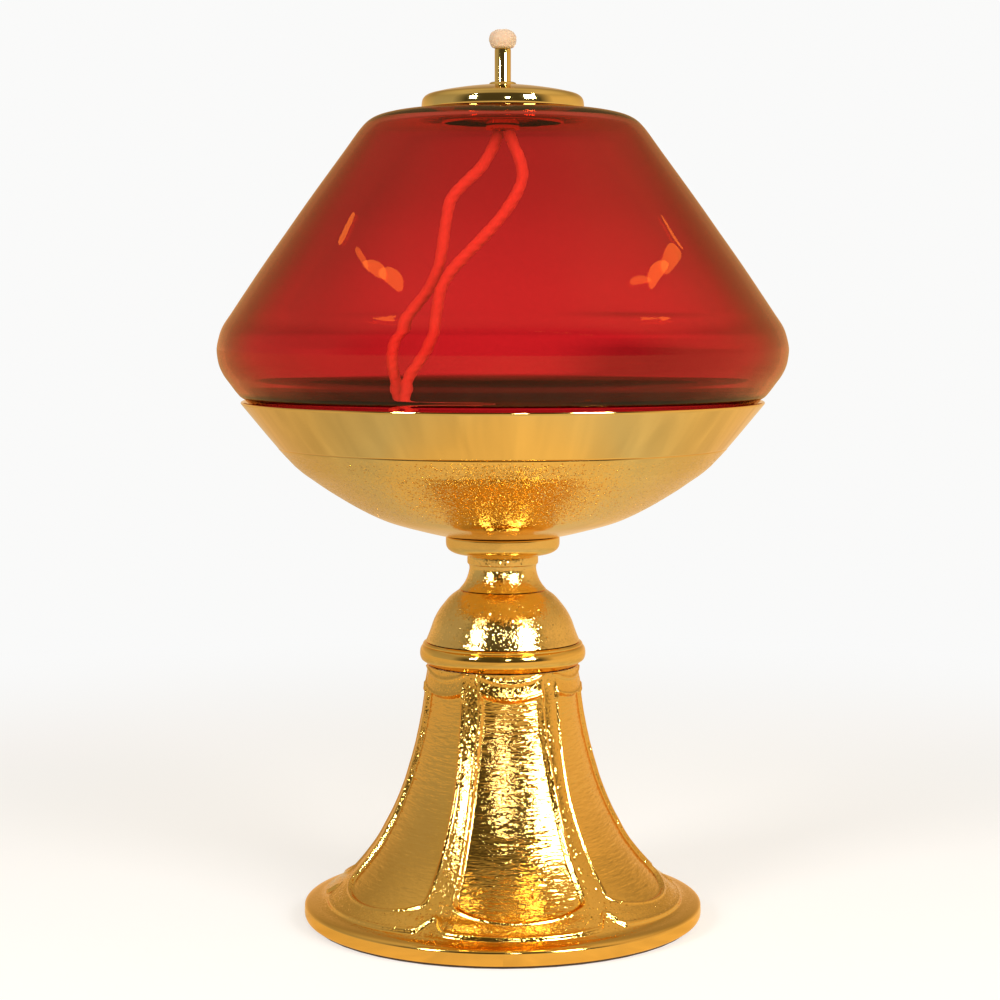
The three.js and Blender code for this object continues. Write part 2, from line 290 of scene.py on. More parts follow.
def gilt(name, rough=0.1, base=SAND_GOLD, grain=0.0, lines=0.0, rough_var=0.04, sparkle=0.0):
    """Gilt brass: rough sets the polish, grain and sparkle a sanded skin, lines a turned finish."""
    m = Mat(name)
    v = m.coords()
    cloud = m.noise(v, 28, 3, 0.55)
    col = m.mix(cloud, tuple(c * 0.9 for c in base), tuple(min(1, c * 1.06) for c in base))
    p = m.add("ShaderNodeBsdfPrincipled")
    p.inputs["Metallic"].default_value = 1.0
    m.link(col, p.inputs["Base Color"])
    p.inputs["Specular Tint"].default_value = (1.0, 0.86, 0.66, 1)
    smear = m.noise(v, 90, 2, 0.5)
    r = m.math("ADD", m.math("MULTIPLY", smear, rough_var), rough)
    m.link(r, p.inputs["Roughness"])
    normal = None
    if lines:
        sep, r2 = radius(m, v)
        cv = m.add("ShaderNodeCombineXYZ")
        m.link(r2, cv.inputs[0])
        m.link(sep.outputs[2], cv.inputs[1])
        turned = m.noise(cv.outputs[0], 2600, 2, 0.6)
        normal = m.bump(turned, lines, 0.00002)
    if grain:
        normal = m.bump(m.noise(v, 2900, 2, 0.5), grain, 0.00016, normal)
    if sparkle:
        normal = flakes(m, v, normal, 2300, sparkle)
    if normal is not None:
        m.link(normal, p.inputs["Normal"])
    m.link(p.outputs[0], m.out.inputs["Surface"])
    return m.m


def bowl_material():
    """Spun bowl: polished upper band, finely grained below the scribed line, turned rings near the stem."""
    m = Mat("gilt_spun")
    v = m.coords()
    sep, rad = radius(m, v)
    z = sep.outputs[2]
    low = m.add("ShaderNodeMapRange")
    low.inputs["From Min"].default_value = 0.1812
    low.inputs["From Max"].default_value = 0.1790
    m.link(z, low.inputs["Value"])
    low = low.outputs["Result"]
    cloud = m.noise(v, 22, 3, 0.55)
    col = m.mix(cloud, tuple(c * 0.93 for c in BOWL_GOLD), tuple(min(1, c * 1.05) for c in BOWL_GOLD))
    p = m.add("ShaderNodeBsdfPrincipled")
    p.inputs["Metallic"].default_value = 1.0
    p.inputs["Specular Tint"].default_value = (1.0, 0.88, 0.72, 1)
    m.link(col, p.inputs["Base Color"])
    smear = m.noise(v, 70, 2, 0.5)
    skirt = m.add("ShaderNodeMapRange", interpolation_type="SMOOTHSTEP")
    skirt.inputs["From Min"].default_value = 0.046
    skirt.inputs["From Max"].default_value = 0.057
    m.link(rad, skirt.inputs["Value"])
    low = m.math("MULTIPLY", low, skirt.outputs["Result"])
    r = m.math("ADD", m.math("MULTIPLY", smear, 0.03), m.math("ADD", m.math("MULTIPLY", low, 0.05), 0.045))
    m.link(r, p.inputs["Roughness"])
    cv = m.add("ShaderNodeCombineXYZ")
    m.link(rad, cv.inputs[0])
    turned = m.noise(cv.outputs[0], 1500, 2, 0.6)
    near = m.add("ShaderNodeMapRange")
    near.inputs["From Min"].default_value = 0.056
    near.inputs["From Max"].default_value = 0.040
    m.link(rad, near.inputs["Value"])
    h = m.math("MULTIPLY", turned, m.math("ADD", m.math("MULTIPLY", near.outputs["Result"], 1.0), 0.12))
    n1 = m.bump(h, 0.5, 0.00009)
    # slow waviness of spun sheet in the upper band
    wave = m.noise(m.coords((1, 1, 0.25)), 34, 2, 0.5)
    n2 = m.bump(wave, 0.5, 0.0007, n1)
    n3 = m.bump(m.math("MULTIPLY", m.noise(v, 2600, 2, 0.5), low), 0.30, 0.0001, n2)
    n4 = flakes(m, v, n3, 2300, 1.2, low)
    m.link(n4, p.inputs["Normal"])
    m.link(p.outputs[0], m.out.inputs["Surface"])
    return m.m


def foot_material():
    """Sanded ridges and moulding, sunk panels with fine hatching, satin rim."""
    m = Mat("gilt_foot")
    v = m.coords()
    panel = m.add("ShaderNodeAttribute", attribute_name="panel").outputs["Fac"]
    sand = m.add("ShaderNodeAttribute", attribute_name="sand").outputs["Fac"]
    cloud = m.noise(v, 30, 3, 0.55)
    col = m.mix(cloud, tuple(c * 0.90 for c in FOOT_GOLD), tuple(min(1, c * 1.05) for c in FOOT_GOLD))
    p = m.add("ShaderNodeBsdfPrincipled")
    p.inputs["Metallic"].default_value = 1.0
    p.inputs["Specular Tint"].default_value = (1.0, 0.86, 0.66, 1)
    m.link(col, p.inputs["Base Color"])
    smear = m.noise(v, 120, 2, 0.5)
    m.link(m.math("ADD", m.math("MULTIPLY", smear, 0.04), 0.07), p.inputs["Roughness"])
    grain = m.noise(v, 3000, 2, 0.5)
    n1 = m.bump(m.math("MULTIPLY", grain, sand), 0.22, 0.00016)
    # hatching: fine level strokes, broken along their length
    hatch = m.noise(m.coords((300, 300, 1900)), 1.0, 2.0, 0.55)
    n2 = m.bump(m.math("MULTIPLY", hatch, panel), 0.60, 0.00026, n1)
    n3 = flakes(m, v, n2, 2400, 0.75, sand)
    n4 = flakes(m, m.coords((0.11, 0.11, 0.85)), n3, 2500, 0.50, panel, (0.3, 0.3, 1))
    m.link(n4, p.inputs["Normal"])
    m.link(p.outputs[0], m.out.inputs["Surface"])
    return m.m


def glass_material():
    """Clear ruby glass: coloured in its body, clear in its reflections, deeper and browner edge on, the brown a painted
    reflection of the room; painted shade low on the far wall.
    """
    m = Mat("ruby_glass")
    lw = m.add("ShaderNodeLayerWeight")
    lw.inputs["Blend"].default_value = 0.5
    v = m.coords()
    sep = m.add("ShaderNodeSeparateXYZ")
    m.link(v, sep.inputs[0])
    cloud = m.noise(v, 7, 1.5, 0.4)
    body = m.mix(cloud, (0.765, 0.275, 0.30), (0.81, 0.305, 0.33))
    # painted reflection: edge on, the light through the glass is tinted brown like the room's reflection
    col = m.ramp(lw.outputs["Facing"], [(0.0, (0, 0, 0)), (0.56, (0, 0, 0)), (0.74, (1, 1, 1)), (1.0, (1, 1, 1))])
    col = m.mix(col, body, (0.66, 0.40, 0.22))
    # painted shade: the far wall of the glass from z 202 mm down, round the bowl's rim, darkened to dark brown as if in
    # the bowl's shade
    low_shade_mask = m.add("ShaderNodeMapRange")
    low_shade_mask.inputs["From Min"].default_value = 0.2020
    low_shade_mask.inputs["From Max"].default_value = 0.2008
    low_shade_mask.clamp = True
    m.link(sep.outputs[2], low_shade_mask.inputs["Value"])
    geo = m.add("ShaderNodeNewGeometry")
    outside = m.add("ShaderNodeAttribute", attribute_name="outside").outputs["Fac"]
    slant = m.add("ShaderNodeMapRange")
    for k, val in (("From Min", 0.34), ("From Max", 0.66), ("To Min", 1.0), ("To Max", 0.45)):
        slant.inputs[k].default_value = val
    m.link(lw.outputs["Facing"], slant.inputs["Value"])
    far_wall_shade = m.math("MULTIPLY", m.math("MULTIPLY", low_shade_mask.outputs["Result"], outside),
                      m.math("MULTIPLY", geo.outputs["Backfacing"], slant.outputs["Result"]))
    col = m.mix(far_wall_shade, col, (0.20, 0.10, 0.06))
    refr = m.add("ShaderNodeBsdfRefraction")
    refr.inputs["IOR"].default_value = 1.22
    refr.inputs["Roughness"].default_value = 0.0
    m.link(col, refr.inputs["Color"])
    gl = m.add("ShaderNodeBsdfGlossy")
    gl.inputs["Roughness"].default_value = 0.0
    gl.inputs["Color"].default_value = (0.84, 0.58, 0.34, 1)
    fr = m.add("ShaderNodeFresnel")
    m.link(m.math("SUBTRACT", 1.47, m.math("MULTIPLY", geo.outputs["Backfacing"], 0.25)), fr.inputs["IOR"])
    glass = m.add("ShaderNodeMixShader")
    m.link(fr.outputs[0], glass.inputs[0])
    m.link(refr.outputs[0], glass.inputs[1])
    m.link(gl.outputs[0], glass.inputs[2])
    tr = m.add("ShaderNodeBsdfTransparent")
    tr.inputs["Color"].default_value = (0.96, 0.56, 0.42, 1)
    lp = m.add("ShaderNodeLightPath")
    mix = m.add("ShaderNodeMixShader")
    m.link(lp.outputs["Is Shadow Ray"], mix.inputs[0])
    m.link(glass.outputs[0], mix.inputs[1])
    m.link(tr.outputs[0], mix.inputs[2])
    m.link(mix.outputs[0], m.out.inputs["Surface"])
    return m.m


def fibre_material(name, base, glow=0.0):
    m = Mat(name)
    v = m.coords()
    a = m.noise(v, 900, 3, 0.6)
    col = m.mix(a, tuple(c * 0.82 for c in base), base)
    p = m.add("ShaderNodeBsdfPrincipled")
    p.inputs["Roughness"].default_value = 0.85
    if "Sheen Weight" in p.inputs:
        p.inputs["Sheen Weight"].default_value = 0.3
    m.link(col, p.inputs["Base Color"])
    p.inputs["Subsurface Weight"].default_value = 0.25
    p.inputs["Subsurface Radius"].default_value = (0.002, 0.001, 0.0008)
    if glow:
        m.link(col, p.inputs["Emission Color"])
        p.inputs["Emission Strength"].default_value = glow
    m.link(m.bump(a, 0.5, 0.0003), p.inputs["Normal"])
    m.link(p.outputs[0], m.out.inputs["Surface"])
    return m.m


def matte(name, base, rough=0.8, grain=600, bump=0.3, depth=0.0002, metallic=0.0, rough2=None):
    m = Mat(name)
    v = m.coords()
    a = m.noise(v, grain, 3, 0.6)
    p = m.add("ShaderNodeBsdfPrincipled")
    m.link(m.mix(a, tuple(c * 0.75 for c in base), tuple(min(1, c * 1.15) for c in base)), p.inputs["Base Color"])
    m.link(m.math("ADD", m.math("MULTIPLY", a, 0.12), rough), p.inputs["Roughness"])
    p.inputs["Metallic"].default_value = metallic
    m.link(m.bump(a, bump, depth), p.inputs["Normal"])
    m.link(p.outputs[0], m.out.inputs["Surface"])
    return m.m


POLISHED = gilt("gilt_polished", 0.05, base=SAND_GOLD, lines=0.10)
CAPGILT = gilt("gilt_cap", 0.035, base=CAP_GOLD, lines=0.06, rough_var=0.02)
BOWLGILT = bowl_material()
SANDED = gilt("gilt_sanded", 0.08, base=STEM_GOLD, grain=0.20, sparkle=0.7)
FLANGE = gilt("gilt_flange", 0.12, base=BOWL_GOLD, grain=0.10, lines=0.2)
FOOT = foot_material()
RUBY = glass_material()
WICK = fibre_material("wick_fibre", (0.52, 0.37, 0.25))
STRAND = fibre_material("strand_fibre", (0.95, 0.80, 0.66))
STEEL = matte("zinc_steel", (0.55, 0.56, 0.57), 0.3, 400, 0.1, 0.00005, metallic=1.0)
CORK = matte("pressed_cork", (0.30, 0.18, 0.095), 0.9, 700, 0.5, 0.0003)
RUBBER = matte("gasket_rubber", (0.03, 0.028, 0.026), 0.6, 500, 0.1, 0.0001)
FELT = matte("base_felt", (0.07, 0.05, 0.035), 0.95, 1500, 0.6, 0.0003)


def paint(o, mat):
    o.data.materials.clear()
    o.data.materials.append(mat)


def piece(o, mat, body, slot, *stands_for):
    paint(o, mat)
    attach(o, body)
    if stands_for:
        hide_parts(*stands_for)
    return o


# ------------------------------------------------------------------ wick strands
STRAND_D = 0.0046
ROUTE_LEFT = [
    (-1.3, 2.35, 300.3), (-3.9, 2.7, 293.6), (-8.6, 2.95, 286.2), (-15.2, 3.2, 280.0), (-19.6, 3.5, 274.6),
    (-21.3, 3.9, 267.6), (-22.8, 4.3, 257.8), (-24.4, 4.5, 249.2), (-28.2, 4.5, 240.8), (-33.6, 4.5, 233.9),
    (-38.0, 4.5, 227.6), (-41.2, 4.5, 221.4), (-42.3, 4.5, 214.8), (-41.6, 4.5, 208.2), (-40.4, 4.6, 202.0),
    (-39.3, 4.8, 195.5), (-38.4, 5.1, 188.5), (-36.6, 5.8, 181.2), (-32.4, 7.0, 174.9), (-25.6, 9.0, 171.8),
    (-17.0, 11.4, 171.6), (-8.5, 13.6, 171.6)]
ROUTE_RIGHT = [
    (2.0, -2.35, 300.3), (4.0, -2.5, 294.6), (6.5, -2.8, 288.8), (7.4, -3.1, 283.2), (5.6, -3.5, 277.4),
    (2.0, -3.8, 271.4), (-2.6, -4.2, 265.4), (-8.6, -4.5, 258.9), (-14.6, -4.5, 252.9), (-19.8, -4.5, 247.0),
    (-23.4, -4.5, 240.4), (-24.7, -4.5, 233.6), (-25.9, -4.5, 226.6), (-28.1, -4.5, 220.0), (-31.6, -4.5, 213.6),
    (-35.0, -4.5, 207.4), (-36.9, -4.5, 200.9), (-37.0, -4.7, 194.2), (-35.8, -5.0, 187.4), (-32.8, -5.6, 180.2),
    (-27.6, -6.8, 174.6), (-20.4, -8.6, 171.8), (-12.0, -10.9, 171.6), (-3.4, -13.2, 171.6)]


def smooth3(P, n=24):
    P = np.array(P, float)
    Q = np.vstack([2 * P[0] - P[1], P, 2 * P[-1] - P[-2]])
    out = []
    for i in range(1, len(Q) - 2):
        p0, p1, p2, p3 = Q[i - 1:i + 3]
        dt = [max(1e-4, np.linalg.norm(b - a) ** 0.5) for a, b in ((p0, p1), (p1, p2), (p2, p3))]
        t1 = ((p1 - p0) / dt[0] - (p2 - p0) / (dt[0] + dt[1]) + (p2 - p1) / dt[1]) * dt[1]
        t2 = ((p2 - p1) / dt[1] - (p3 - p1) / (dt[1] + dt[2]) + (p3 - p2) / dt[2]) * dt[1]
        for k in range(n):
            t = k / n
            out.append(p1 + t1 * t + (-3 * p1 + 3 * p2 - 2 * t1 - t2) * t * t + (2 * p1 - 2 * p2 + t1 + t2) * t ** 3)
    out.append(P[-1])
    return np.array(out) * MM


def strand(name, route, seed, sides=40):
    """A soft three-ply wick: a tube whose section shows its plies."""
    c = smooth3(route)
    seg = np.linalg.norm(np.diff(c, axis=0), axis=1)
    s = np.concatenate([[0], np.cumsum(seg)])
    total = s[-1]
    n = int(total / 0.0005)
    q = np.stack([np.interp(np.linspace(0, total, n), s, c[:, k]) for k in range(3)], 1)
    t = np.gradient(q, axis=0)
    t /= np.linalg.norm(t, axis=1)[:, None]
    side = np.cross(t[0], (0.3, 1, 0))
    side /= np.linalg.norm(side)
    verts, faces = [], []
    for i in range(n):
        side = side - t[i] * (side @ t[i])
        side /= np.linalg.norm(side)
        up = np.cross(t[i], side)
        d = i / (n - 1) * total
        wob = 0.03 * math.sin(d * 410 + seed) + 0.02 * math.sin(d * 930 + 2.1 * seed)
        for k in range(sides):
            a = 2 * math.pi * k / sides
            ply = abs(math.sin(1.5 * (a - d * 520 + seed)))
            r = STRAND_D / 2 * (0.90 + 0.10 * ply ** 0.7) * (0.97 + wob)
            r = min(r, STRAND_D / 2)
            verts.append(tuple(q[i] + side * r * math.cos(a) + up * r * math.sin(a)))
    for i in range(n - 1):
        for k in range(sides):
            l = (k + 1) % sides
            faces.append((i * sides + k, i * sides + l, (i + 1) * sides + l, (i + 1) * sides + k))
    a = len(verts)
    verts.append(tuple(q[0]))
    verts.append(tuple(q[-1]))
    for k in range(sides):
        l = (k + 1) % sides
        faces.append((a, l, k))
        faces.append((a + 1, (n - 1) * sides + k, (n - 1) * sides + l))
    o = new_object(name, verts, faces, 60)
    return o, [tuple(p) for p in q[::6]] + [tuple(q[-1])], float(total)


left, path_l, len_l = strand("strand_left", ROUTE_LEFT, 0.4)
right, path_r, len_r = strand("strand_right", ROUTE_RIGHT, 2.0)
for o, node in ((left, "wick_strand_left"), (right, "wick_strand_right")):
    piece(o, STRAND, "burner", "wick_fibre", node)

# ------------------------------------------------------------------ the foot
FOOT_LINE = [
    (74.9, 1.1), (75.7, 1.7), (76.2, 2.8), (76.2, 6.0, 1), (76.05, 6.45), (75.4, 7.0), (73.6, 7.5), (70.6, 8.0),
    (68.6, 8.7), (66.2, 10.4), (64.0, 12.2), (61.0, 14.4), (57.5, 18.0), (54.5, 21.9), (52.0, 25.3), (49.0, 29.3),
    (46.8, 32.7), (44.3, 37.4), (41.8, 42.2), (39.1, 48.4), (36.8, 54.6), (34.9, 60.9), (33.2, 67.0),
    (31.8, 73.2), (30.6, 79.4), (29.6, 86.0), (28.95, 93.0), (28.9, 98.3)]
PANEL_AT = 6.5


def sstep(a, b, x):
    t = np.clip((x - a) / (b - a), 0, 1)
    return t * t * (3 - 2 * t)


def smax(a, b, k):
    h = np.clip(0.5 + 0.5 * (a - b) / k, 0, 1)
    return b + (a - b) * h + k * h * (1 - h)


def value_noise(x, y, cx, cy, seed):
    """Smooth seeded noise, -1 to 1, on a grid of cx by cy."""
    g = np.random.default_rng(seed).uniform(-1, 1, (256, 512))
    u, v = x / cx, y / cy
    i, j = np.floor(u).astype(int), np.floor(v).astype(int)
    fu, fv = u - i, v - j
    fu, fv = fu * fu * (3 - 2 * fu), fv * fv * (3 - 2 * fv)
    a, b = g[i % 256, j % 512], g[(i + 1) % 256, j % 512]
    c, d = g[i % 256, (j + 1) % 512], g[(i + 1) % 256, (j + 1) % 512]
    return (a + (b - a) * fu) * (1 - fv) + (c + (d - c) * fu) * fv


def make_foot():
    line = spline(FOOT_LINE, 0.27)
    L = np.array(line, float)
    t = np.gradient(L, axis=0)
    t /= np.linalg.norm(t, axis=1)[:, None]
    nrm = np.stack([t[:, 1], -t[:, 0]], 1)           # outward
    nphi = 720
    deg = np.arange(nphi) * 360.0 / nphi
    d = (deg - PANEL_AT + 30) % 60 - 30
    D, R = np.meshgrid(d, L[:, 0])                   # rows: profile, cols: angle
    Z = np.repeat(L[:, 1][:, None], nphi, 1)
    aD = np.abs(D)
    hw = 24.4 - 2.7 * sstep(50, 90, Z)
    u = aD / hw
    side = (aD - hw) * math.pi / 180 * R
    top = Z - (88.4 + 1.9 * np.clip(u, 0, 1.2) ** 2)
    slope = 1.25
    bot = (R - (62.8 - 4.6 * np.clip(u, 0, 1.15) ** 2)) * slope
    E = smax(side, top, 0.5)
    E = smax(E, bot, 3.0)
    H = -0.95 * (1 - sstep(-1.1, 0.0, E))
    H += 0.55 * np.exp(-((E - 0.55) / 0.55) ** 2)
    # soft crown along the ridges
    gap = np.clip((30 - aD) / np.maximum(30 - hw, 1), 0, 1)
    H += 0.35 * (1 - gap ** 2) * sstep(2.0, 4.0, side + 4) * sstep(14, 24, Z) * (1 - sstep(86, 96, Z))
    # garland moulding over each panel
    zs = 94.9 + 2.9 * np.clip(aD / 24, 0, 1.3) ** 2
    H += 0.55 * np.exp(-((Z - zs) / 0.75) ** 2) * (1 - sstep(24, 29, aD))
    # a cove between the garland and the panel's top edge
    H += 0.62 * np.clip((zs - 0.7 - Z) / 4.4, 0, 1) * sstep(-0.3, 0.5, E) * (1 - sstep(22.5, 26, aD)) * sstep(87.2, 88.6, Z)
    # petal-shaped step round the foot of each panel
    Rp = 69.0 - 1.1 * (aD / 24) ** 2 - 4.5 * sstep(24.5, 30, aD)
    H += 0.95 * (1 - sstep(-0.55, 0.55, R - Rp)) * (1 - sstep(14, 26, Z))
    H += 0.22 * np.exp(-((R - Rp + 0.9) / 0.5) ** 2) * (Z < 20)
    # the panels are flatter than the round between the ridges
    Hf = 0.5 * R * (np.cos(np.radians(hw)) / np.cos(np.radians(np.minimum(aD, hw))) - 1)
    H += Hf * sstep(8, 52, Z) * (1 - 0.7 * sstep(76, 90, Z))
    # fine level ripples chased into the sunk panels
    arc = np.concatenate([[0], np.cumsum(np.linalg.norm(np.diff(L, axis=0), axis=1))])[:, None]
    pan = 1 - sstep(-1.6, -0.9, E)
    x = D * math.pi / 180 * R
    strokes = 0.75 * value_noise(x + 60, arc + 0 * x, 6.2, 0.60, 11) + 0.25 * value_noise(x + 90, arc + 0 * x, 2.4, 0.50, 12)
    H += 0.078 * pan * strokes
    P = L[:, None, :] + nrm[:, None, :] * H[:, :, None]
    lock = (L[:, 1] < 6.3) | (L[:, 1] > 98.0)
    P[lock] = L[lock][:, None, :]
    a = np.radians(deg)[None]
    X, Y, ZZ = P[:, :, 0] * np.sin(a), -P[:, :, 0] * np.cos(a), P[:, :, 1]
    verts = np.stack([X, Y, ZZ], 2).reshape(-1, 3) * MM
    ns = len(L)
    inner = [(5.4, 98.3), (5.4, 95.6), (25.4, 95.6), (26.2, 86), (27.5, 79), (30.2, 67), (33.8, 54.5), (38.0, 44),
             (40.6, 39), (43.4, 33.5), (48.2, 26.5), (53.6, 20.0), (59.6, 13.4), (65.8, 8.0), (72.0, 4.2), (72.0, 1.1)]
    iv = []
    for r, z in inner:
        half = np.radians(24.4 - 2.7 * sstep(50, 90, z))
        at = np.minimum(np.radians(np.abs(d)), half)
        ri = r
        if r > 20:
            ri = r - 0.5 * r * (1 - np.cos(half) / np.cos(at)) * sstep(8, 52, z) * (1 - 0.7 * sstep(76, 90, z))
        iv.append(np.stack([ri * np.sin(a[0]), -ri * np.cos(a[0]), np.full(nphi, z)], 1) * MM)
    verts = np.vstack([verts] + iv)
    rows = ns + len(inner)
    i = np.arange(nphi)
    j = (i + 1) % nphi
    faces = []
    for k in range(rows):
        l = (k + 1) % rows
        faces.append(np.stack([k * nphi + i, k * nphi + j, l * nphi + j, l * nphi + i], 1))
    faces = np.vstack(faces)
    o = new_object("chased_foot", [tuple(v) for v in verts], [tuple(int(x) for x in f) for f in faces], 50)
    panel = (1 - sstep(-1.3, -0.6, E)).reshape(-1)
    sand = (sstep(6.6, 10.5, Z) * (1 - (1 - sstep(-1.3, -0.6, E)) * 0.8)).reshape(-1)
    extra = np.zeros(len(inner) * nphi)
    for nm, val in (("panel", panel), ("sand", sand)):
        at = o.data.attributes.new(nm, "FLOAT", "POINT")
        at.data.foreach_set("value", np.concatenate([val, extra]).astype(np.float32))
    return o


piece(make_foot(), FOOT, "stand", "chased_gilt", "foot_shell")

# ------------------------------------------------------------------ stem
bead = spline([(28.6, 98.6, 0), (29.1, 99.0), (29.9, 99.7), (31.1, 100.6), (31.6, 102.0), (31.65, 103.4), (31.4, 104.7),
               (30.8, 105.7), (30.35, 106.0, 1), (30.5, 106.5), (30.1, 107.0), (29.7, 107.2)], 0.35)
piece(lathe("bead_ring_fine", [(5.4, 98.6)] + bead + [(5.4, 107.2)]), POLISHED, "stand", "polished_gilt", "bead_ring")
dome = spline([(29.3, 107.5), (28.9, 108.6), (28.3, 110.0), (27.4, 112.5), (26.4, 115.3), (24.7, 118.6), (22.6, 121.5),
               (20.0, 124.5), (17.9, 126.1), (16.6, 127.0)], 0.4)
piece(lathe("stem_dome_fine", [(25.5, 107.5)] + dome + [(5.4, 127.0), (5.4, 124.2), (17.4, 123.6), (22.0, 118.2),
                                                         (24.6, 112.4)]), SANDED, "stand", "sanded_gilt", "stem_dome")
neck = spline([(16.5, 127.3), (15.1, 129.0), (14.0, 130.9), (13.1, 133.4), (12.75, 135.4), (12.85, 136.3), (13.0, 136.8, 1),
               (13.45, 137.2), (13.55, 138.4), (13.5, 139.7), (13.3, 140.5)], 0.3)
piece(lathe("stem_neck_fine", [(5.4, 127.3)] + neck + [(5.4, 140.5)]), SANDED, "stand", "sanded_gilt", "stem_neck")
flange = spline([(15.0, 140.8), (17.6, 141.0), (19.4, 141.6), (20.8, 142.6), (21.5, 143.8), (21.7, 145.1), (21.7, 147.0, 1),
                 (21.55, 147.4), (21.2, 147.6)], 0.3)
piece(lathe("stem_flange_fine", [(5.4, 140.8)] + flange + [(5.4, 147.6)]), FLANGE, "stand", "polished_gilt", "stem_flange")

# ------------------------------------------------------------------ bowl
bowl_out = spline([(20.5, 147.9), (24.5, 148.3), (28.5, 149.2), (33.9, 150.6), (39.0, 152.0), (43.8, 153.5), (48.0, 155.2),
                   (52.5, 157.4), (57.8, 160.3), (62.9, 163.4), (67.6, 166.4), (71.3, 169.0), (75.7, 172.1), (79.0, 174.9, 1),
                   (84.75, 181.05), (85.05, 181.4, 1), (85.0, 181.75, 1), (85.35, 181.9, 1), (89.7, 187.1), (94.7, 193.2), (98.9, 198.35)], 0.6)
bowl_in = offset(bowl_out, 1.5)
bowl_in = [p for p in bowl_in if p[0] > 20.2 and p[1] < 198.0][::3]
rim = [(98.95, 198.6), (98.85, 198.95), (98.55, 199.15), (98.15, 199.2), (97.7, 199.1)]
piece(lathe("spun_bowl", [(5.4, 147.9)] + bowl_out + rim + bowl_in[::-1] + [(20.2, 149.4), (5.4, 149.4)], 288), BOWLGILT, "stand",
      "spun_gilt", "bowl")

# cork ring cemented in the bowl, its inner face clear of the glass
piece(lathe("seat_ring_fine", [(79.45, 178.15), (82.3, 181.45), (85.3, 184.75), (85.2, 185.0), (84.8, 185.05), (84.62, 184.9), (81.75, 181.75),
                               (78.9, 178.7), (78.95, 178.3)], 240), CORK, "stand", "cork", "globe_seat_ring")

# ------------------------------------------------------------------ ruby globe
glass_line = [
    (48.0, 166.0), (57.0, 166.9), (63.5, 169.3), (70.0, 172.8), (76.0, 176.5), (84.3, 185.0), (90.0, 191.9), (94.3, 197.4),
    (95.7, 199.0), (97.2, 199.9), (99.0, 201.0), (100.6, 202.8), (102.9, 205.9), (105.2, 209.1), (106.8, 212.6), (107.5, 216.0),
    (107.7, 219.0), (107.0, 222.8), (105.6, 226.9), (101.9, 232.6), (97.9, 238.6), (89.7, 250.7), (81.2, 262.7),
    (72.7, 274.7), (59.6, 292.6), (53.2, 301.3), (50.6, 303.9), (47.6, 305.6), (43.0, 306.9), (37.0, 307.8), (31.5, 308.2),
    (28.6, 308.3), (27.4, 308.8), (27.0, 309.8)]
go = spline(glass_line, 1.0)
gi = offset(go, 2.8)
gi = [p for p in gi if p[0] > 28 and 168.9 < p[1] < 305.2 and p[0] < 106]
globe = lathe("ruby_globe", [(0, 166.0)] + go + [(27.0, 311.1), (26.6, 311.6), (24.5, 311.6), (24.0, 311.1), (24.0, 306.2),
                                                  (24.8, 305.5)] + gi[::-1] + [(47.5, 168.8), (0, 168.8)], 256, 40)
near_out = np.array(go)[None, :, :]
rz = np.array([(math.hypot(v.co.x, v.co.y) / MM, v.co.z / MM) for v in globe.data.vertices])
outside = np.concatenate([np.linalg.norm(near_out - c[:, None, :], axis=2).min(1) < 0.6 for c in np.array_split(rz, 64)])
at = globe.data.attributes.new("outside", "FLOAT", "POINT")
at.data.foreach_set("value", outside.astype(np.float32))
piece(globe, RUBY, "globe", "ruby_glass", "globe")

# ------------------------------------------------------------------ burner
cap = spline([(30.5, 308.7), (30.55, 309.4), (30.4, 311.2), (30.1, 312.2), (29.4, 313.1), (28.4, 313.8), (27.0, 314.3), (25.9, 314.55, 1),
              (23.6, 315.1), (16.0, 316.4), (8.0, 317.4), (5.2, 317.8, 1), (4.9, 318.3), (4.2, 318.6)], 0.4)
piece(lathe("burner_cap_fine", cap + [(3.35, 318.6), (3.35, 313.1), (29.0, 313.1), (29.4, 312.4), (29.4, 308.7)]), CAPGILT,
      "burner", "polished_gilt", "burner_cap")
piece(lathe("wick_tube_fine", [(2.25, 306.0), (3.05, 306.0), (3.05, 330.6), (2.9, 330.95), (2.6, 331.0), (2.25, 330.8)], 48), CAPGILT,
      "burner", "polished_gilt", "wick_tube")


piece(lathe("burner_plug_fine", [(22.3, 303.5), (22.7, 303.6), (23.1, 304.0), (23.2, 304.5), (23.2, 312.5), (23.0, 312.8), (3.35, 312.8),
                                 (3.35, 311.6), (22.0, 311.6), (22.0, 303.7)], 160), POLISHED, "burner", "polished_gilt", "burner_plug")
piece(lathe("neck_gasket_fine", [(24.2, 312.1), (24.4, 311.9), (26.8, 311.9), (27.0, 312.1), (27.0, 312.6), (26.8, 312.8), (24.4, 312.8),
                                 (24.2, 312.6)], 160), RUBBER, "cap_seat", "rubber", "neck_gasket")
piece(lathe("wick_holder_fine", [(5.7, 300.6), (6.2, 300.6), (6.4, 300.9), (6.4, 303.3), (6.3, 303.7), (4.7, 306.4), (4.6, 306.8),
                                 (4.6, 307.5), (4.4, 307.7), (3.35, 307.7), (3.35, 305.7), (2.6, 305.0), (4.6, 302.4)], 96),
      POLISHED, "burner", "polished_gilt", "wick_holder")


